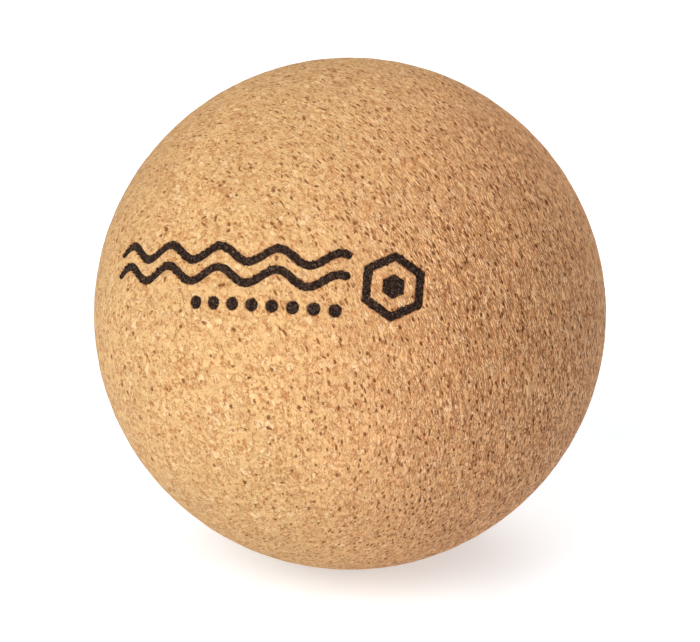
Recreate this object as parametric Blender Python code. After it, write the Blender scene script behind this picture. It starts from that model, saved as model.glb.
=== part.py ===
"""Cork massage ball: a solid ball of pressed cork granules with a generic mark stamped in its front.

Units are metres and +Z is up. The origin is the ball's centre, so the ball lies on z = -BALL_RADIUS.
The middle of the mark faces the front, -Y, above the ball's equator. The mark is two waves, a row of
dots and a cork cell, and each island of its ink is a piece of its own, sunk in a shallow pocket.

A place on the mark is (along, up), two lengths on the ball's surface from the middle of the mark.
A shape on the mark is a list of rungs, pairs of such places on either side of a stroke.
"""

import math

import bmesh
import bpy
from mathutils import Vector

# The ball
BALL_RADIUS = 0.0325
BALL_SUBDIVISIONS = 5

# Where the mark lies on the ball, in degrees
MARK_LATITUDE = 25.0
MARK_ROLL = 5.0

# The stamp: each pocket clears its ink by FIT_GAP at the bottom and all round
POCKET_DEPTH = 0.0007
FIT_GAP = 0.0003
INK_THICKNESS = 0.0003
CUTTER_RISE = 0.001

# The waves, a pair of long strokes
STROKE_WIDTH = 0.0010
WAVE_START = -0.0220
WAVE_END = 0.0118
WAVE_LENGTH = 0.0078
WAVE_HEIGHT = 0.0009
WAVE_LEVELS = {"wave_upper": 0.0034, "wave_lower": 0.0008}
WAVE_RUNGS = 44
ROUND_END_RUNGS = 3

# The row of dots under the waves
DOT_COUNT = 8
DOT_RADIUS = 0.0008
DOT_PITCH = 0.0026
DOT_ROW_END = 0.0109
DOT_LEVEL = -0.0027
DOT_RUNGS = 8

# The cork cell, a hexagon with a smaller one inside
CELL_CENTRE = (0.0176, 0.0009)
CELL_APOTHEM = 0.0032
CELL_CORE_APOTHEM = 0.0013
CELL_SIDE_RUNGS = 4

# Colours are linear RGB
CORK_COLOUR = (0.61, 0.36, 0.17, 1.0)
CORK_ROUGHNESS = 0.85
INK_COLOUR = (0.016, 0.011, 0.009, 1.0)
INK_ROUGHNESS = 0.7


def clear_scene():
    for obj in list(bpy.data.objects):
        bpy.data.objects.remove(obj, do_unlink=True)


def make_material(name, colour, roughness):
    material = bpy.data.materials.new(name)
    material.use_nodes = True
    shader = material.node_tree.nodes["Principled BSDF"]
    shader.inputs["Base Color"].default_value = colour
    shader.inputs["Roughness"].default_value = roughness
    shader.inputs["Metallic"].default_value = 0.0
    return material


def mark_axes():
    """The mark's own right, up and outward directions at its middle."""
    latitude = math.radians(MARK_LATITUDE)
    roll = math.radians(MARK_ROLL)
    east = Vector((1.0, 0.0, 0.0))
    north = Vector((0.0, math.sin(latitude), math.cos(latitude)))
    outward = Vector((0.0, -math.cos(latitude), math.sin(latitude)))
    right = east * math.cos(roll) + north * math.sin(roll)
    up = north * math.cos(roll) - east * math.sin(roll)
    return right, up, outward


def on_ball(place, radius):
    """The point at that radius under a place on the mark."""
    right, up, outward = mark_axes()
    turn = place[0] / BALL_RADIUS
    lift = place[1] / BALL_RADIUS
    level = outward * math.cos(turn) + right * math.sin(turn)
    return (level * math.cos(lift) + up * math.sin(lift)) * radius


def round_end(half_width, count):
    """(distance short of the end's centre, half width) along a round end, from its tip."""
    angles = [math.pi / 2 * (i + 1) / (count + 1) for i in range(count)]
    return [(half_width * math.cos(a), half_width * math.sin(a)) for a in angles]


def wave_rungs(level, grow):
    half_width = STROKE_WIDTH / 2 + grow
    tips = round_end(half_width, ROUND_END_RUNGS)
    step = (WAVE_END - WAVE_START) / WAVE_RUNGS
    stations = [(WAVE_START - back, width) for back, width in tips]
    stations += [(WAVE_START + i * step, half_width) for i in range(WAVE_RUNGS + 1)]
    stations += [(WAVE_END + back, width) for back, width in reversed(tips)]
    rungs = []
    for along, width in stations:
        phase = 2 * math.pi * (along - WAVE_START) / WAVE_LENGTH
        slope = WAVE_HEIGHT * 2 * math.pi / WAVE_LENGTH * math.cos(phase)
        up = level + WAVE_HEIGHT * math.sin(phase)
        across = Vector((-slope, 1.0)).normalized() * width
        middle = Vector((along, up))
        rungs.append((middle - across, middle + across))
    return rungs


def dot_rungs(centre, grow):
    radius = DOT_RADIUS + grow
    rungs = []
    for i in range(1, DOT_RUNGS):
        angle = math.pi * i / DOT_RUNGS
        along = centre - radius * math.cos(angle)
        half = radius * math.sin(angle)
        rungs.append((Vector((along, DOT_LEVEL - half)), Vector((along, DOT_LEVEL + half))))
    return rungs


def hexagon(apothem, side_rungs):
    """Points round a hexagon about the cell's centre, with its sides cut into side_rungs."""
    corner_radius = apothem / math.cos(math.pi / 6)
    centre = Vector(CELL_CENTRE)
    angles = [math.pi / 3 * (k + 0.5) for k in range(7)]
    corners = [centre + corner_radius * Vector((math.cos(a), math.sin(a))) for a in angles]
    points = []
    for start, end in zip(corners, corners[1:]):
        points += [start.lerp(end, j / side_rungs) for j in range(side_rungs)]
    return points


def cell_ring_rungs(grow):
    half_width = STROKE_WIDTH / 2 + grow
    inner = hexagon(CELL_APOTHEM - half_width, CELL_SIDE_RUNGS)
    outer = hexagon(CELL_APOTHEM + half_width, CELL_SIDE_RUNGS)
    return list(zip(inner, outer))


def cell_core_rungs(grow):
    points = hexagon(CELL_CORE_APOTHEM + grow, 2)
    half = len(points) // 2
    return [(points[i], points[-1 - i]) for i in range(half)]


def mark_shapes():
    """Each island's name, its rungs as a function of how much to grow it, and whether it is a loop."""
    shapes = []
    for name, level in WAVE_LEVELS.items():
        shapes.append((name, lambda grow, level=level: wave_rungs(level, grow), False))
    for i in range(DOT_COUNT):
        centre = DOT_ROW_END - (DOT_COUNT - 1 - i) * DOT_PITCH
        shapes.append((f"dot_{i + 1}", lambda grow, centre=centre: dot_rungs(centre, grow), False))
    shapes.append(("cell_ring", cell_ring_rungs, True))
    shapes.append(("cell_core", cell_core_rungs, False))
    return shapes


def add_slab(mesh, rungs, is_loop, low, high):
    """A closed strip over the rungs, between the two radii."""
    rings = []
    for left, right in rungs:
        corners = (on_ball(left, low), on_ball(right, low), on_ball(right, high), on_ball(left, high))
        rings.append([mesh.verts.new(corner) for corner in corners])
    followers = rings[1:] + rings[:1] if is_loop else rings[1:]
    for ring, follower in zip(rings, followers):
        for k in range(4):
            n = (k + 1) % 4
            mesh.faces.new((ring[k], ring[n], follower[n], follower[k]))
    if not is_loop:
        mesh.faces.new(rings[0])
        mesh.faces.new(rings[-1])


def object_from(name, mesh, material):
    bmesh.ops.recalc_face_normals(mesh, faces=mesh.faces)
    data = bpy.data.meshes.new(name)
    mesh.to_mesh(data)
    mesh.free()
    data.materials.append(material)
    obj = bpy.data.objects.new(name, data)
    bpy.context.scene.collection.objects.link(obj)
    return obj


def make_ink(name, rungs, is_loop, material):
    low = BALL_RADIUS - POCKET_DEPTH + FIT_GAP
    mesh = bmesh.new()
    add_slab(mesh, rungs, is_loop, low, low + INK_THICKNESS)
    return object_from(name, mesh, material)


def make_pocket_cutter(material):
    mesh = bmesh.new()
    for _, rungs_of, is_loop in mark_shapes():
        low = BALL_RADIUS - POCKET_DEPTH
        add_slab(mesh, rungs_of(FIT_GAP), is_loop, low, BALL_RADIUS + CUTTER_RISE)
    cutter = object_from("pocket_cutter", mesh, material)
    cutter.hide_render = True
    cutter.display_type = "WIRE"
    return cutter


def make_cork_body(material, cutter):
    mesh = bmesh.new()
    bmesh.ops.create_icosphere(mesh, subdivisions=BALL_SUBDIVISIONS, radius=BALL_RADIUS)
    body = object_from("cork_body", mesh, material)
    body.data.shade_smooth()
    body.data.set_sharp_from_angle(angle=math.radians(30))
    pockets = body.modifiers.new("stamped_pockets", "BOOLEAN")
    pockets.operation = "DIFFERENCE"
    pockets.solver = "EXACT"
    pockets.object = cutter
    return body


def main():
    clear_scene()
    cork = make_material("pressed_cork", CORK_COLOUR, CORK_ROUGHNESS)
    ink = make_material("stamp_ink", INK_COLOUR, INK_ROUGHNESS)
    make_cork_body(cork, make_pocket_cutter(cork))
    for name, rungs_of, is_loop in mark_shapes():
        make_ink(name, rungs_of(0.0), is_loop, ink)


main()
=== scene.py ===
"""Looks of the cork massage ball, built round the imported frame.

The ball is one turned sphere of pressed cork granules. Its surface is a fine mesh with real pits
where pores were cut open and a real sunk stamp, and its granules are procedural, flattened along the
direction in which the cork block was pressed. Each island of ink is a thin skin in the stamp.

Lengths are in metres, or in millimetres where a name ends in _MM. A place on the mark is
(along, up), two lengths in millimetres on the ball's surface from the middle of the mark.
"""

import math

import bmesh
import bpy
import numpy as np
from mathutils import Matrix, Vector


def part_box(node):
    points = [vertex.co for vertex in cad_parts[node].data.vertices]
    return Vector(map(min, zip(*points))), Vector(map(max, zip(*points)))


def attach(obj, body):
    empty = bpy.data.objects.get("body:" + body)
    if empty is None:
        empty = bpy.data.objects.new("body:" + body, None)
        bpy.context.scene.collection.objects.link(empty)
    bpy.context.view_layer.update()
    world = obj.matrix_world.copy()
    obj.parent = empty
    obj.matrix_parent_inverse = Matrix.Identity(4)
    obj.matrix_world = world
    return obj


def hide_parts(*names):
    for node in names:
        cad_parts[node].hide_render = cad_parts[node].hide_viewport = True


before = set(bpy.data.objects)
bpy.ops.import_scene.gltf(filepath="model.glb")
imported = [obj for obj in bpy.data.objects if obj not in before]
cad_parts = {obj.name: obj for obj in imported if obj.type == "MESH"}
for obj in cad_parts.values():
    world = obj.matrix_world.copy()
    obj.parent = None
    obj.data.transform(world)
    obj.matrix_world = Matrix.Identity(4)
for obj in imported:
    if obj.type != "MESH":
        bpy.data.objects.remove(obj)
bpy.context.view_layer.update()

MM = 0.001
BALL_LOW, BALL_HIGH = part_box("cork_body")
BALL_CENTRE = (BALL_LOW + BALL_HIGH) / 2
BALL_RADIUS = (BALL_HIGH.z - BALL_LOW.z) / 2
RADIUS_MM = BALL_RADIUS / MM

# Camera: a long lens, a little above the ball and to the right of the mark
CAMERA_AZIMUTH = 24.2
CAMERA_ELEVATION = 20.0
CAMERA_DISTANCE = 0.495
CAMERA_LENS_MM = 200.0
CAMERA_AIM_BELOW = 0.001

# Softboxes, as (azimuth from the camera's, elevation, watts, colour)
SOFTBOX_SIZE = 0.7
SOFTBOX_DISTANCE = 0.9
SOFTBOXES = {
    "key": (-42, 36, 10.0, (1.0, 1.0, 0.98)),
    "front_fill": (35, 38, 3.4, (1.0, 1.0, 1.0)),
    "back_light": (165, 55, 5.2, (1.0, 1.0, 1.0)),
}

# Floor and backdrop: far away, where the softboxes fade, the floor glows more and meets the backdrop
FLOOR_REACH = 4.0
FLOOR_NEAR = 0.6
FLOOR_FAR = 1.3
FLOOR_COLOUR = (0.64, 0.67, 0.70, 1.0)
FLOOR_ROUGHNESS = 0.9
FLOOR_GLOW = 0.50
BACKDROP_GLOW = 0.92
WORLD_LIGHT = 0.03
WHITE = (1.0, 1.0, 1.0, 1.0)

# The mark, with the same sizes as its CAD solids
MARK_LATITUDE = 25.0
MARK_ROLL = 5.0
STROKE_MM = 1.0
WAVE_START_MM = -22.0
WAVE_END_MM = 11.8
WAVE_LENGTH_MM = 7.8
WAVE_HEIGHT_MM = 0.9
WAVE_LEVELS_MM = {"wave_upper": 3.4, "wave_lower": 0.8}
DOT_COUNT = 8
DOT_RADIUS_MM = 0.8
DOT_PITCH_MM = 2.6
DOT_ROW_END_MM = 10.9
DOT_LEVEL_MM = -2.7
CELL_CENTRE_MM = (17.6, 0.9)
CELL_APOTHEM_MM = 3.2
CELL_CORE_APOTHEM_MM = 1.3

# Where the mark is looked for, as the cosine from its middle, and in how many points a wave is followed
MARK_SIDE_COSINE = 0.5
WAVE_SAMPLES = 340

# How the mark is stamped: part of its soft wall is inside the outline, and its floor is smoother
STAMP_DEPTH_MM = 0.22
STAMP_WALL_MM = 0.16
STAMP_WALL_INSIDE = 0.3
STAMP_SMOOTHING = 0.8
INK_LIFT_MM = 0.03
INK_SKIN_MM = 0.08

# The ink's ragged edges, which differ because they read the ripples at places far apart
INK_EDGE_MM = 0.05
INK_EDGE_WAVELENGTH_MM = 0.55
INK_EDGE_SEED = 7
INK_EDGES_APART_MM = 40
INK_EDGE_LEAST_WIDTH_MM = 0.25

# How finely the ink's skins are cut, as (steps along, steps across)
WAVE_GRID = (300, 10)
DOT_GRID = (22, 16)
RING_GRID = (216, 10)
CORE_GRID = (30, 24)

# How near to its tips a skin reaches, because a grid can't close to a point
TIP_REACH = 0.98
DOT_TIP = 0.04

# The ball's mesh
BALL_CELLS = 72
REFINE_CUTS = 4
MARK_MARGIN_MM = 0.75

# Unevenness left by turning and sanding, as (height, wavelength, seed) in millimetres
TURNING_RIPPLES = ((0.012, 2.6, 3), (0.008, 1.1, 4))

# Pores, the pits that turning the ball cuts open. Where the layers are seen on edge the pores follow
# them, and where the layers are seen flat the pores turn about and are wider. A higher power makes
# more of them small, and lengths and widths are in shares of a pore's radius
PORE_SEED = 11
PORE_COUNT = 520
PORE_RADIUS_MM = (0.12, 0.33)
PORE_POWER = 2.5
PORE_LENGTH_LEAST = 1.1
PORE_LENGTH_SPREAD = 0.9
PORE_WIDTH_FLAT = 0.75
PORE_NARROWING = 0.2
PORE_TURN = 0.35
PORE_TURN_FLAT = 1.1
PORE_DEPTH_MM = (0.10, 0.30)
PORE_WALL = (0.45, 1.15)
PORE_WALL_MARGIN_MM = 0.15
PORE_MARGIN_MM = 0.32

# Pressing: the granules, and the flakes seen on edge, are flattened along this direction
PRESS_AZIMUTH = -24.7
PRESS_ELEVATION = -9.5
PRESS_FLATNESS = 0.57
LAYER_FLATNESS = 0.29
FLAKE_MM = 1.10

# The side of the ball where the grain is coarsest, and where painted light makes the granules lighter
# and redder
COARSE_AZIMUTH = 95.0

# The cork's granules, and the larger ones among them
GRANULE_MM = 0.55
CHUNK_MM = 1.0


def direction(azimuth, elevation):
    """The unit direction from the ball's centre; azimuth 0 is the front, -Y, and grows to +X."""
    a = math.radians(azimuth)
    e = math.radians(elevation)
    return Vector((math.sin(a) * math.cos(e), -math.cos(a) * math.cos(e), math.sin(e)))


PRESS_AXIS = direction(PRESS_AZIMUTH, PRESS_ELEVATION)
COARSE_SIDE = direction(COARSE_AZIMUTH, 0.0)


# ---------------------------------------------------------------- the mark's places and outlines


def mark_axes():
    """The mark's own right, up and outward directions at its middle, as rows."""
    latitude = math.radians(MARK_LATITUDE)
    roll = math.radians(MARK_ROLL)
    east = np.array((1.0, 0.0, 0.0))
    north = np.array((0.0, math.sin(latitude), math.cos(latitude)))
    outward = np.array((0.0, -math.cos(latitude), math.sin(latitude)))
    right = east * math.cos(roll) + north * math.sin(roll)
    up = north * math.cos(roll) - east * math.sin(roll)
    return np.array((right, up, outward))


def to_directions(places):
    """Unit directions from the ball's centre to places on the mark."""
    turn = places[:, 0] / RADIUS_MM
    lift = places[:, 1] / RADIUS_MM
    local = (np.cos(lift) * np.sin(turn), np.sin(lift), np.cos(lift) * np.cos(turn))
    return np.stack(local, axis=1) @ mark_axes()


def to_places(directions):
    """Places on the mark under unit directions; to_directions the other way round."""
    local = directions @ mark_axes().T
    along = np.arctan2(local[:, 0], local[:, 2]) * RADIUS_MM
    up = np.arcsin(np.clip(local[:, 1], -1, 1)) * RADIUS_MM
    return np.stack((along, up), axis=1)


def on_mark_side(directions):
    """Which directions are on the side of the ball that holds the mark."""
    return directions @ mark_axes()[2] > MARK_SIDE_COSINE


def wave_up(along, level):
    return level + WAVE_HEIGHT_MM * np.sin(2 * math.pi * (along - WAVE_START_MM) / WAVE_LENGTH_MM)


def dot_centre(i):
    return DOT_ROW_END_MM - (DOT_COUNT - 1 - i) * DOT_PITCH_MM


def hexagon_distance(places):
    """How far a regular hexagon about the cell's centre must reach to hold each place."""
    offset = places - np.array(CELL_CENTRE_MM)
    normals = [(math.cos(a), math.sin(a)) for a in (0.0, math.pi / 3, 2 * math.pi / 3)]
    return np.max([np.abs(offset @ np.array(normal)) for normal in normals], axis=0)


def distance_to_curve(places, curve):
    """The distance from each place to the nearest of the curve's points."""
    nearest = np.full(len(places), np.inf)
    for point in curve:
        np.minimum(nearest, np.hypot(*(places - point).T), out=nearest)
    return nearest


def mark_distance(places):
    """How far each place is outside the nearest ink outline, in millimetres, negative inside it."""
    half = STROKE_MM / 2
    found = []
    for level in WAVE_LEVELS_MM.values():
        along = np.linspace(WAVE_START_MM, WAVE_END_MM, WAVE_SAMPLES)
        curve = np.stack((along, wave_up(along, level)), axis=1)
        found.append(distance_to_curve(places, curve) - half)
    for i in range(DOT_COUNT):
        centre = np.array((dot_centre(i), DOT_LEVEL_MM))
        found.append(np.hypot(*(places - centre).T) - DOT_RADIUS_MM)
    reach = hexagon_distance(places)
    found.append(np.abs(reach - CELL_APOTHEM_MM) - half)
    found.append(reach - CELL_CORE_APOTHEM_MM)
    return np.min(found, axis=0)


# ---------------------------------------------------------------- the ball's relief


def smoothstep(low, high, value):
    t = np.clip((value - low) / (high - low), 0, 1)
    return t * t * (3 - 2 * t)


def ripples(points, wavelength, seed, count=28):
    """A smooth random field of about unit size over points, from sine waves in random directions."""
    rng = np.random.default_rng(seed)
    axes = rng.normal(size=(count, points.shape[1]))
    axes /= np.linalg.norm(axes, axis=1)[:, None]
    lengths = wavelength * rng.uniform(0.7, 1.5, count)
    phases = rng.uniform(0, 2 * math.pi, count)
    waves = np.sin(points @ (axes / lengths[:, None]).T * 2 * math.pi + phases)
    return waves.sum(axis=1) * math.sqrt(2 / count)


def stamp_share(places):
    """1 on the floor of the stamp, 0 outside it, and between on its soft walls."""
    return 1 - smoothstep(-STAMP_WALL_MM * STAMP_WALL_INSIDE, STAMP_WALL_MM, mark_distance(places))


def turned_relief(directions):
    """The ball's slight unevenness after turning and sanding, in millimetres."""
    points = directions * RADIUS_MM
    relief = 0.0
    for height, wavelength, seed in TURNING_RIPPLES:
        relief = relief + height * ripples(points, wavelength, seed)
    return relief


def stamped_relief(directions, share):
    return turned_relief(directions) * (1 - STAMP_SMOOTHING * share) - STAMP_DEPTH_MM * share


class Pores:
    """The open pores: where each is, how long and wide, how deep, and the wobble of its outline."""

    def __init__(self):
        rng = np.random.default_rng(PORE_SEED)
        axis = np.array(PRESS_AXIS)
        centres = rng.normal(size=(PORE_COUNT, 3))
        centres /= np.linalg.norm(centres, axis=1)[:, None]
        along = np.cross(axis, centres)
        along /= np.linalg.norm(along, axis=1)[:, None]
        side_on = 1 - (centres @ axis) ** 2
        turn = rng.normal(0, PORE_TURN + PORE_TURN_FLAT * (1 - side_on))
        across = np.cross(centres, along)
        self.centres = centres
        self.along = along * np.cos(turn)[:, None] + across * np.sin(turn)[:, None]
        self.across = np.cross(centres, self.along)
        size = PORE_RADIUS_MM[0] + np.ptp(PORE_RADIUS_MM) * rng.random(PORE_COUNT) ** PORE_POWER
        self.length = size * (PORE_LENGTH_LEAST + PORE_LENGTH_SPREAD * rng.random(PORE_COUNT))
        self.width = size * (PORE_WIDTH_FLAT - PORE_NARROWING * side_on)
        self.depth = PORE_DEPTH_MM[0] + np.ptp(PORE_DEPTH_MM) * rng.random(PORE_COUNT)
        self.wobble = rng.uniform(0, 2 * math.pi, (PORE_COUNT, 2))

    def near(self, k, directions, margin):
        """Which directions lie within margin of pore k, and how deep in it each is, from 0 to 1."""
        reach = (self.length[k] + margin) / RADIUS_MM
        chosen = np.nonzero(directions @ self.centres[k] > math.cos(reach))[0]
        x = directions[chosen] @ self.along[k] * RADIUS_MM
        y = directions[chosen] @ self.across[k] * RADIUS_MM
        angle = np.arctan2(y, x)
        outline = 1 + 0.22 * np.sin(2 * angle + self.wobble[k, 0])
        outline += 0.20 * np.sin(3 * angle + self.wobble[k, 1])
        inner = np.hypot(x / (self.length[k] * outline), y / (self.width[k] * outline))
        outer = np.hypot(x / (self.length[k] + margin), y / (self.width[k] + margin))
        return chosen[outer < 1], inner[outer < 1]

    def relief(self, directions):
        """(pit depth in millimetres, how far inside a pore from 0 to 1) at each direction."""
        depth = np.zeros(len(directions))
        inside = np.zeros(len(directions))
        for k in range(PORE_COUNT):
            chosen, inner = self.near(k, directions, PORE_WALL_MARGIN_MM)
            share = 1 - smoothstep(*PORE_WALL, inner)
            depth[chosen] = np.maximum(depth[chosen], self.depth[k] * share)
            inside[chosen] = np.maximum(inside[chosen], share)
        return depth, inside

    def touched(self, directions):
        """Which directions are close enough to a pore to need a fine mesh."""
        wanted = np.zeros(len(directions), bool)
        for k in range(PORE_COUNT):
            wanted[self.near(k, directions, PORE_MARGIN_MM)[0]] = True
        return wanted


# ---------------------------------------------------------------- meshes


def cube_sphere(cells):
    """Unit directions and quads of an even sphere, from a cube with that many cells along an edge."""
    step = np.arange(cells)
    a, b = (grid.ravel() for grid in np.meshgrid(step, step, indexing="ij"))
    corners = [(a, b), (a + 1, b), (a + 1, b + 1), (a, b + 1)]
    sides = []
    for axis in range(3):
        for level in (0, cells):
            quad = np.empty((len(a), 4, 3), int)
            for k, (u, v) in enumerate(corners if level else corners[::-1]):
                quad[:, k, axis] = level
                quad[:, k, (axis + 1) % 3] = u
                quad[:, k, (axis + 2) % 3] = v
            sides.append(quad)
    lattice, index = np.unique(np.concatenate(sides).reshape(-1, 3), axis=0, return_inverse=True)
    points = np.tan((lattice / cells * 2 - 1) * math.pi / 4)
    points /= np.linalg.norm(points, axis=1)[:, None]
    return points, index.reshape(-1, 4)


def refined_sphere(pores):
    """The sphere's mesh, with finer faces round the mark and the pores, as a bmesh."""
    points, quads = cube_sphere(BALL_CELLS)
    middles = points[quads].mean(axis=1)
    middles /= np.linalg.norm(middles, axis=1)[:, None]
    fine = pores.touched(middles)
    facing = on_mark_side(middles)
    fine[facing] |= mark_distance(to_places(middles[facing])) < MARK_MARGIN_MM
    data = bpy.data.meshes.new("sphere")
    data.from_pydata(points.tolist(), [], quads.tolist())
    mesh = bmesh.new()
    mesh.from_mesh(data)
    bpy.data.meshes.remove(data)
    mesh.faces.ensure_lookup_table()
    edges = {edge for i in np.nonzero(fine)[0] for edge in mesh.faces[i].edges}
    bmesh.ops.subdivide_edges(mesh, edges=list(edges), cuts=REFINE_CUTS, use_grid_fill=True)
    bmesh.ops.triangulate(mesh, faces=[face for face in mesh.faces if len(face.verts) > 4])
    return mesh


def add_attribute(data, name, values):
    attribute = data.attributes.new(name, "FLOAT", "POINT")
    attribute.data.foreach_set("value", values.astype(np.float32))


def piece_from(name, data, material, slot, *nodes):
    """An object for the mesh that rides on the ball's one body and stands for those CAD nodes."""
    data.materials.append(material)
    data.shade_smooth()
    piece = bpy.data.objects.new(name, data)
    bpy.context.scene.collection.objects.link(piece)
    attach(piece, "root")
    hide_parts(*nodes)


def make_ball(material):
    pores = Pores()
    mesh = refined_sphere(pores)
    data = bpy.data.meshes.new("turned_cork_ball")
    mesh.to_mesh(data)
    mesh.free()
    directions = np.empty(len(data.vertices) * 3)
    data.vertices.foreach_get("co", directions)
    directions = directions.reshape(-1, 3)
    directions /= np.linalg.norm(directions, axis=1)[:, None]
    share = np.zeros(len(directions))
    facing = on_mark_side(directions)
    share[facing] = stamp_share(to_places(directions[facing]))
    depth, inside = pores.relief(directions)
    height = stamped_relief(directions, share) - depth * (1 - share)
    points = directions * (RADIUS_MM + height)[:, None] * MM + np.array(BALL_CENTRE)
    data.vertices.foreach_set("co", points.ravel())
    add_attribute(data, "pore", inside * (1 - share))
    add_attribute(data, "stamp", share)
    data.update()
    piece_from("turned_cork_ball", data, material, "pressed_cork", "cork_body")


def skin_mesh(name, outline, grid, is_loop):
    """A closed thin skin. outline gives, for shares 0 to 1 along it, its middle and its edge."""
    rows, columns = grid
    count = rows if is_loop else rows + 1
    share = np.arange(count) / rows
    middle, edge = outline(share)
    across = np.linspace(-1, 1, columns + 1)
    width = np.linalg.norm(edge - middle, axis=1)
    places = []
    for side in across:
        read_at = middle + INK_EDGES_APART_MM * side
        wobble = INK_EDGE_MM * ripples(read_at, INK_EDGE_WAVELENGTH_MM, INK_EDGE_SEED) * abs(side) ** 3
        reach = side * (1 + wobble / np.maximum(width, INK_EDGE_LEAST_WIDTH_MM))
        places.append(middle + (edge - middle) * reach[:, None])
    places = np.stack(places, axis=1).reshape(-1, 2)
    directions = to_directions(places)
    height = stamped_relief(directions, stamp_share(places))
    lifts = (INK_LIFT_MM, INK_LIFT_MM - INK_SKIN_MM)
    layers = [directions * (RADIUS_MM + height + lift)[:, None] for lift in lifts]
    points = np.concatenate(layers) * MM + np.array(BALL_CENTRE)
    faces = skin_faces(count, columns, is_loop)
    data = bpy.data.meshes.new(name)
    data.from_pydata(points.tolist(), [], faces)
    return data


def skin_faces(count, columns, is_loop):
    """Quads of two grids of points, one under the other, and of the walls between their borders."""
    width = columns + 1
    under = count * width
    faces = []
    steps = range(count if is_loop else count - 1)
    for i in steps:
        start, following = i * width, (i + 1) % count * width
        for j in range(columns):
            top = (start + j, following + j, following + j + 1, start + j + 1)
            faces.append(top)
            faces.append(tuple(under + k for k in reversed(top)))
        faces.append((start, start + under, following + under, following))
        side, next_side = start + columns, following + columns
        faces.append((side, next_side, next_side + under, side + under))
    if not is_loop:
        end = (count - 1) * width
        for j in range(columns):
            faces.append((j, j + 1, j + 1 + under, j + under))
            faces.append((end + j + 1, end + j, end + j + under, end + j + 1 + under))
    return faces


def wave_outline(level):
    half = STROKE_MM / 2

    def outline(share):
        length = WAVE_END_MM - WAVE_START_MM + half * 2 * TIP_REACH
        along = WAVE_START_MM - half * TIP_REACH + share * length
        past = np.maximum(np.maximum(WAVE_START_MM - along, along - WAVE_END_MM), 0)
        width = np.sqrt(half**2 - past**2)
        phase = 2 * math.pi * (along - WAVE_START_MM) / WAVE_LENGTH_MM
        slope = WAVE_HEIGHT_MM * 2 * math.pi / WAVE_LENGTH_MM * np.cos(phase)
        normal = np.stack((-slope, np.ones_like(slope)), axis=1)
        normal /= np.linalg.norm(normal, axis=1)[:, None]
        middle = np.stack((along, wave_up(along, level)), axis=1)
        return middle, middle + normal * width[:, None]

    return outline


def dot_outline(i):
    def outline(share):
        angle = math.pi * (DOT_TIP + (1 - 2 * DOT_TIP) * share)
        along = dot_centre(i) - DOT_RADIUS_MM * np.cos(angle)
        half = DOT_RADIUS_MM * np.sin(angle)
        middle = np.stack((along, np.full_like(along, DOT_LEVEL_MM)), axis=1)
        return middle, middle + np.stack((np.zeros_like(half), half), axis=1)

    return outline


def hexagon_points(share, apothem):
    """Points at shares 0 to 1 of the way round a hexagon about the cell's centre."""
    corner_radius = apothem / math.cos(math.pi / 6)
    side = np.floor(share * 6)
    part = (share * 6 - side)[:, None]
    starts = math.pi / 3 * (side + 0.5)
    ends = starts + math.pi / 3
    start = np.stack((np.cos(starts), np.sin(starts)), axis=1)
    end = np.stack((np.cos(ends), np.sin(ends)), axis=1)
    return np.array(CELL_CENTRE_MM) + corner_radius * (start * (1 - part) + end * part)


def ring_outline(share):
    middle = hexagon_points(share, CELL_APOTHEM_MM)
    return middle, hexagon_points(share, CELL_APOTHEM_MM + STROKE_MM / 2)


def core_outline(share):
    corner_radius = CELL_CORE_APOTHEM_MM / math.cos(math.pi / 6)
    up = corner_radius * TIP_REACH * (2 * share - 1)
    half = np.minimum(CELL_CORE_APOTHEM_MM, (corner_radius - np.abs(up)) * math.sqrt(3))
    middle = np.array(CELL_CENTRE_MM) + np.stack((np.zeros_like(up), up), axis=1)
    return middle, middle - np.stack((half, np.zeros_like(half)), axis=1)


def make_ink(material):
    skins = [(name, wave_outline(level), WAVE_GRID, False) for name, level in WAVE_LEVELS_MM.items()]
    skins += [(f"dot_{i + 1}", dot_outline(i), DOT_GRID, False) for i in range(DOT_COUNT)]
    skins.append(("cell_ring", ring_outline, RING_GRID, True))
    skins.append(("cell_core", core_outline, CORE_GRID, False))
    for node, outline, grid, is_loop in skins:
        name = "stamped_" + node
        data = skin_mesh(name, outline, grid, is_loop)
        piece_from(name, data, material, "stamp_ink", node)


# ---------------------------------------------------------------- materials


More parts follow.
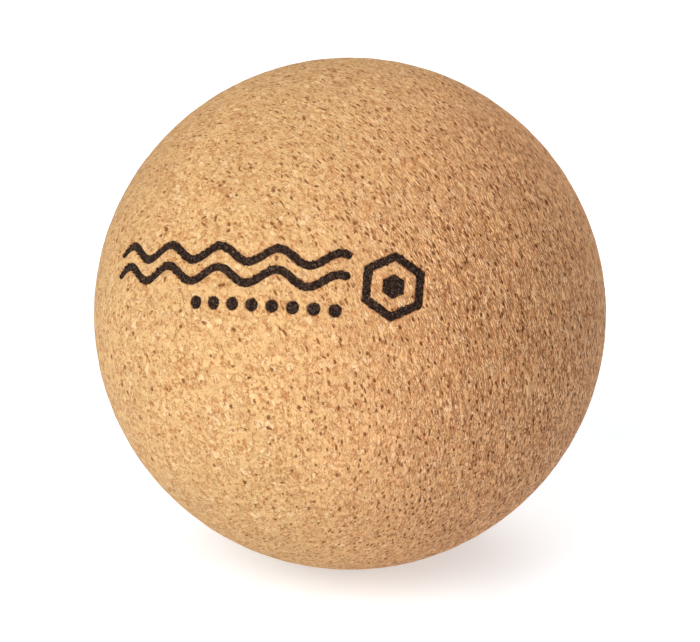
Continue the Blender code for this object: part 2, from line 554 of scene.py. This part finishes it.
class Graph:
    """Adds nodes to a material. Each value is a number, a vector, a colour or a node's output."""

    def __init__(self, name):
        self.material = bpy.data.materials.new(name)
        self.material.use_nodes = True
        self.tree = self.material.node_tree
        self.shader = self.tree.nodes["Principled BSDF"]

    def wire(self, socket, value):
        if isinstance(value, bpy.types.NodeSocket):
            self.tree.links.new(value, socket)
        else:
            socket.default_value = value

    def node(self, kind, values, **settings):
        node = self.tree.nodes.new("ShaderNode" + kind)
        for name, value in settings.items():
            setattr(node, name, value)
        for name, value in values.items():
            self.wire(node.inputs[name], value)
        return node

    def math(self, operation, a, b=0.0):
        return self.node("Math", {0: a, 1: b}, operation=operation).outputs[0]

    def vector(self, operation, a, b=(0.0, 0.0, 0.0)):
        node = self.node("VectorMath", {0: a, 1: b}, operation=operation)
        return node.outputs["Value" if operation == "DOT_PRODUCT" else "Vector"]

    def scaled(self, vector, scale):
        return self.node("VectorMath", {0: vector, "Scale": scale}, operation="SCALE").outputs[0]

    def between(self, value, low, high, start=0.0, end=1.0):
        """start where value is low, end where it is high, and a smooth step between."""
        values = {0: value, 1: low, 2: high, 3: start, 4: end}
        return self.node("MapRange", values, interpolation_type="SMOOTHSTEP").outputs[0]

    def product(self, a, b):
        return self.math("MULTIPLY", a, b)

    def mix(self, share, a, b):
        return self.node("Mix", {0: share, 6: a, 7: b}, data_type="RGBA").outputs[2]

    def tint(self, colour, towards, share, most):
        """The colour moved towards another one, by a share from 0 to 1 of the most that it may."""
        return self.mix(self.product(share, most), colour, towards)

    def noise(self, vector, scale, detail=2.0, roughness=0.5):
        values = {"Vector": vector, "Scale": scale, "Detail": detail, "Roughness": roughness}
        return self.node("TexNoise", values)

    def cells(self, vector, scale, feature="F1"):
        return self.node("TexVoronoi", {"Vector": vector, "Scale": scale}, feature=feature)

    def channels(self, colour):
        return self.node("SeparateColor", {0: colour}).outputs

    def attribute(self, name):
        return self.node("Attribute", {}, attribute_name=name, attribute_type="GEOMETRY").outputs["Fac"]


def cork_place(g):
    """(place on the ball in millimetres, that place stretched so that pressed granules are round)."""
    position = g.node("TexCoord", {}).outputs["Object"]
    centred = g.vector("SUBTRACT", position, tuple(BALL_CENTRE))
    place = g.scaled(g.vector("NORMALIZE", centred), RADIUS_MM)
    return place, pressed(g, place, PRESS_FLATNESS)


def pressed(g, place, flatness):
    """The place stretched along the pressing axis, which flattens whatever is drawn there."""
    height = g.vector("DOT_PRODUCT", place, tuple(PRESS_AXIS))
    stretch = g.product(height, 1 / flatness - 1)
    return g.vector("ADD", place, g.scaled(tuple(PRESS_AXIS), stretch))


def wandering(g, place, scale, reach):
    """The place moved about by noise, so that cell borders are ragged."""
    drift = g.vector("SUBTRACT", g.noise(place, scale, 2.0).outputs["Color"], (0.5, 0.5, 0.5))
    return g.vector("ADD", place, g.scaled(drift, reach))


# The cork's colours, in linear RGB. COARSE_SIDE_PINK_AND_PAINTED_LIGHT is what the coarse side's
# granules are multiplied by: partly their own pinker tone, and partly painted light that lifts the
# shade on that side, away from the key
CORK_TAN = (0.64, 0.392, 0.170, 1.0)
CORK_YELLOW = (0.69, 0.452, 0.20, 1.0)
CORK_PINK = (0.63, 0.355, 0.157, 1.0)
COARSE_SIDE_PINK_AND_PAINTED_LIGHT = (1.24, 1.08, 1.12)
CORK_CREAM = (0.86, 0.65, 0.38, 1.0)
CORK_PALE = (0.88, 0.61, 0.34, 1.0)
CORK_RED = (0.40, 0.138, 0.034, 1.0)
CORK_BARK = (0.22, 0.066, 0.016, 1.0)
CORK_DARK = (0.16, 0.036, 0.004, 1.0)
CORK_PORE = (0.20, 0.052, 0.010, 1.0)
CORK_SPECULAR = 0.2
CORK_BUMP = 0.0010
BUMP_STRENGTH = 0.6


def granules(g, ragged):
    """(colour, height) of the mosaic of cork granules."""
    random = g.channels(g.cells(ragged, 1 / GRANULE_MM).outputs["Color"])
    chunk = g.channels(g.cells(ragged, 1 / CHUNK_MM).outputs["Color"])
    colour = g.mix(random[1], CORK_YELLOW, CORK_PINK)
    colour = g.mix(0.35, colour, CORK_TAN)
    light = g.between(random[0], 0.0, 1.0, 0.94, 1.04)
    light = g.product(light, g.between(chunk[0], 0.0, 1.0, 0.97, 1.03))
    colour = g.scaled(colour, light)
    pale = g.math("MAXIMUM", g.between(random[2], 0.90, 0.93), g.between(chunk[1], 0.94, 0.955))
    colour = g.tint(colour, CORK_CREAM, pale, 0.38)
    red = g.math("MAXIMUM", g.between(random[1], 0.93, 0.95), g.between(chunk[2], 0.96, 0.97))
    colour = g.tint(colour, CORK_RED, red, 0.36)
    border = g.cells(ragged, 1 / CHUNK_MM, "DISTANCE_TO_EDGE").outputs["Distance"]
    seam = g.product(g.between(border, 0.13, 0.03), g.between(random[2], 0.35, 0.65))
    return g.tint(colour, CORK_RED, seam, 0.45), random[0]


def lines(g, place, scale, width):
    """Thin crooked lines, broken into short lengths: 1 on a line and 0 off it."""
    winding = g.noise(place, scale, 2.0, 0.55).outputs["Fac"]
    off_line = g.math("ABSOLUTE", g.math("SUBTRACT", winding, 0.5))
    broken = g.between(g.noise(place, scale * 0.8, 0.0).outputs["Fac"], 0.47, 0.55)
    return g.product(g.between(off_line, width, width * 0.3), broken)


def specks(g, place, flatness, spacing, chance, radius):
    """Small ragged dark specks: 1 in a speck and 0 outside. radius is in shares of the spacing."""
    ragged = wandering(g, pressed(g, place, flatness), 3.2 / spacing, 0.5 * spacing)
    found = g.cells(ragged, 1 / spacing)
    least = g.math("SUBTRACT", 1.0, chance)
    size = g.between(g.channels(found.outputs["Color"])[0], least, 1.0, 0.0, radius)
    return g.between(g.math("SUBTRACT", found.outputs["Distance"], size), 0.045, -0.045)


def flakes(g, place):
    """(random tone, share of dark gap, height) of pressed granules seen on edge, as thin flakes."""
    bent = wandering(g, place, 0.35, 1.2)
    ragged = wandering(g, pressed(g, bent, LAYER_FLATNESS), 1.8, 0.36)
    cell = g.cells(ragged, 1 / FLAKE_MM)
    random = g.channels(cell.outputs["Color"])
    border = g.cells(ragged, 1 / FLAKE_MM, "DISTANCE_TO_EDGE").outputs["Distance"]
    open_gap = g.between(random[1], 0.15, 0.55)
    gap = g.product(g.between(border, 0.18, 0.06), open_gap)
    return random[0], gap, g.between(border, 0.0, 0.35)


def cork_zones(g, place):
    """(how far the layers are seen on edge, how coarse the grain is, how strongly layers show)."""
    outward = g.vector("NORMALIZE", place)
    height_on_axis = g.vector("DOT_PRODUCT", outward, tuple(PRESS_AXIS))
    side_on = g.math("SUBTRACT", 1.0, g.product(height_on_axis, height_on_axis))
    coarseness = g.vector("DOT_PRODUCT", outward, tuple(COARSE_SIDE))
    layered = g.between(side_on, 0.2, 1.0, 0.15, 1.0)
    layered = g.product(layered, g.between(coarseness, 0.10, 0.95, 0.28, 1.25))
    return side_on, coarseness, layered


def cork_grain(g, place, stretched, coarseness, layered):
    """(colour, height) of the granules, their fibres and the thin flakes seen on edge, with painted
    light on the coarse side.
    """
    colour, tilt = granules(g, wandering(g, stretched, 1.3, 0.5))
    # Painted light: the coarse side, away from the key, is made lighter and redder, partly its own
    # pinker tone and partly a painted lift of its shade
    pink_and_painted_light = g.vector("MULTIPLY", colour, COARSE_SIDE_PINK_AND_PAINTED_LIGHT)
    colour = g.mix(g.between(coarseness, -0.1, 0.75), colour, pink_and_painted_light)
    blotch = g.noise(place, 0.12, 2.0).outputs["Fac"]
    colour = g.scaled(colour, g.between(blotch, 0.3, 0.7, 0.97, 1.03))
    fibre = g.noise(stretched, 3.2, 2.0, 0.6).outputs["Fac"]
    colour = g.mix(g.between(fibre, 0.50, 0.72, 0.0, 0.20), colour, CORK_PALE)
    colour = g.mix(g.between(fibre, 0.47, 0.30, 0.0, 0.25), colour, CORK_BARK)
    flake, gap, edge = flakes(g, place)
    colour = g.tint(colour, CORK_PALE, g.between(flake, 0.5, 1.0, 0.0, 0.30), layered)
    colour = g.tint(colour, CORK_BARK, g.between(flake, 0.4, 0.0, 0.0, 0.12), layered)
    colour = g.tint(colour, CORK_BARK, g.product(gap, layered), 0.64)
    height = g.math("ADD", g.product(tilt, 0.3), g.product(fibre, 0.6))
    ridge = g.math("ADD", g.product(edge, 0.8), g.product(flake, 0.3))
    return colour, g.math("ADD", height, g.product(ridge, layered))


def cork_colour(g, place, stretched):
    """(colour, height) of the pressed cork at a place, with its dashes, cracks, flecks and specks."""
    side_on, coarseness, layered = cork_zones(g, place)
    colour, height = cork_grain(g, place, stretched, coarseness, layered)
    dash_chance = g.between(coarseness, -0.5, 0.6, 0.30, 0.60)
    dash_chance = g.product(dash_chance, g.between(side_on, 0.3, 0.9))
    dash = specks(g, place, 0.28, 1.15, dash_chance, 0.40)
    colour = g.tint(colour, CORK_BARK, dash, 0.88)
    crack = lines(g, stretched, 1.5, 0.05)
    colour = g.tint(colour, CORK_RED, crack, 0.70)
    fleck = specks(g, place, 0.6, 0.85, 0.6, 0.31)
    colour = g.tint(colour, CORK_RED, fleck, 0.82)
    speck_chance = g.between(coarseness, -0.3, 0.7, 0.12, 0.76)
    speck = specks(g, place, 0.5, 0.95, speck_chance, 0.34)
    speck_share = g.between(coarseness, 0.2, 0.9, 0.80, 1.0)
    colour = g.tint(colour, CORK_DARK, speck, speck_share)
    height = g.math("SUBTRACT", height, g.product(crack, 0.4))
    height = g.math("SUBTRACT", height, g.product(g.math("MAXIMUM", speck, dash), 0.7))
    return colour, height


def finish_surface(g, colour, height, roughness, bump_distance):
    g.wire(g.shader.inputs["Base Color"], colour)
    g.wire(g.shader.inputs["Roughness"], roughness)
    bump = g.node("Bump", {"Height": height, "Strength": BUMP_STRENGTH, "Distance": bump_distance})
    g.wire(g.shader.inputs["Normal"], bump.outputs["Normal"])
    return g.material


def cork_material():
    g = Graph("pressed_cork")
    place, stretched = cork_place(g)
    colour, height = cork_colour(g, place, stretched)
    pore = g.attribute("pore")
    colour = g.mix(g.between(pore, 0.15, 0.75, 0.0, 0.88), colour, CORK_PORE)
    stamp = g.attribute("stamp")
    colour = g.mix(g.between(stamp, 0.1, 0.9, 0.0, 0.75), colour, CORK_PORE)
    roughness = g.between(height, 0.4, 1.4, 0.82, 0.66)
    g.shader.inputs["Specular IOR Level"].default_value = CORK_SPECULAR
    return finish_surface(g, colour, height, roughness, CORK_BUMP)


INK_BLACK = (0.012, 0.0055, 0.0035, 1.0)
INK_WORN = (0.050, 0.026, 0.016, 1.0)
# The grey of the painted glints on the ink, not a colour of the ink itself
INK_PAINTED_GLINT = (0.17, 0.125, 0.10, 1.0)
INK_SPECULAR = 0.06
INK_BUMP = 0.00015


def ink_material():
    g = Graph("stamp_ink")
    place, stretched = cork_place(g)
    cork, height = cork_colour(g, place, stretched)
    cloud = g.noise(place, 2.2, 3.0, 0.6).outputs["Fac"]
    colour = g.mix(g.between(cloud, 0.45, 0.72), INK_BLACK, INK_WORN)
    # Painted glint: grey patches on the dark ink stand in for highlights on its sheen
    painted_glint = g.between(g.noise(place, 5.5, 1.0, 0.5).outputs["Fac"], 0.58, 0.68)
    colour = g.tint(colour, INK_PAINTED_GLINT, painted_glint, 0.45)
    speck = g.between(g.noise(place, 3.4, 2.0, 0.6).outputs["Fac"], 0.70, 0.75)
    colour = g.tint(colour, cork, speck, 0.6)
    g.shader.inputs["Specular IOR Level"].default_value = INK_SPECULAR
    roughness = g.between(cloud, 0.3, 0.7, 0.62, 0.8)
    return finish_surface(g, colour, height, roughness, INK_BUMP)


# ---------------------------------------------------------------- camera, floor and light


def aim(obj, place, target):
    obj.location = place
    obj.rotation_euler = (target - place).to_track_quat("-Z", "Y").to_euler()


def make_camera():
    data = bpy.data.cameras.new("camera")
    data.lens = CAMERA_LENS_MM
    data.clip_start = 0.01
    camera = bpy.data.objects.new("camera", data)
    bpy.context.scene.collection.objects.link(camera)
    toward = direction(CAMERA_AZIMUTH, CAMERA_ELEVATION)
    target = BALL_CENTRE - Vector((0, 0, CAMERA_AIM_BELOW))
    aim(camera, target + toward * CAMERA_DISTANCE, target)
    bpy.context.scene.camera = camera


def make_floor():
    mesh = bmesh.new()
    bmesh.ops.create_grid(mesh, x_segments=1, y_segments=1, size=FLOOR_REACH)
    data = bpy.data.meshes.new("studio_floor")
    mesh.to_mesh(data)
    mesh.free()
    g = Graph("studio_floor")
    g.shader.inputs["Base Color"].default_value = FLOOR_COLOUR
    g.shader.inputs["Roughness"].default_value = FLOOR_ROUGHNESS
    g.shader.inputs["Emission Color"].default_value = WHITE
    place = g.node("TexCoord", {}).outputs["Object"]
    away = g.math("SQRT", g.vector("DOT_PRODUCT", place, place))
    glow = g.between(away, FLOOR_NEAR, FLOOR_FAR, FLOOR_GLOW, BACKDROP_GLOW)
    g.wire(g.shader.inputs["Emission Strength"], glow)
    data.materials.append(g.material)
    floor = bpy.data.objects.new("studio_floor", data)
    floor.location = (BALL_CENTRE.x, BALL_CENTRE.y, BALL_LOW.z)
    bpy.context.scene.collection.objects.link(floor)


def make_softbox(name, azimuth, elevation, watts, colour):
    data = bpy.data.lights.new(name, "AREA")
    data.shape = "SQUARE"
    data.size = SOFTBOX_SIZE
    data.energy = watts
    data.color = colour
    softbox = bpy.data.objects.new(name, data)
    bpy.context.scene.collection.objects.link(softbox)
    aim(softbox, BALL_CENTRE + direction(azimuth, elevation) * SOFTBOX_DISTANCE, BALL_CENTRE)


def make_world():
    """A plain white world, dim as a light and bright where it shows as the backdrop."""
    world = bpy.data.worlds.new("studio")
    world.use_nodes = True
    tree = world.node_tree
    background = tree.nodes["Background"]
    background.inputs["Color"].default_value = WHITE
    seen = tree.nodes.new("ShaderNodeLightPath").outputs["Is Camera Ray"]
    strength = tree.nodes.new("ShaderNodeMapRange")
    strength.inputs["To Min"].default_value = WORLD_LIGHT
    strength.inputs["To Max"].default_value = BACKDROP_GLOW
    tree.links.new(seen, strength.inputs["Value"])
    tree.links.new(strength.outputs["Result"], background.inputs["Strength"])
    bpy.context.scene.world = world


def make_studio():
    make_floor()
    make_world()
    for name, (turn, elevation, watts, colour) in SOFTBOXES.items():
        make_softbox(name, CAMERA_AZIMUTH + turn, elevation, watts, colour)
    scene = bpy.context.scene
    scene.view_settings.view_transform = "Standard"
    scene.view_settings.look = "None"


make_camera()
make_ball(cork_material())
make_ink(ink_material())
make_studio()
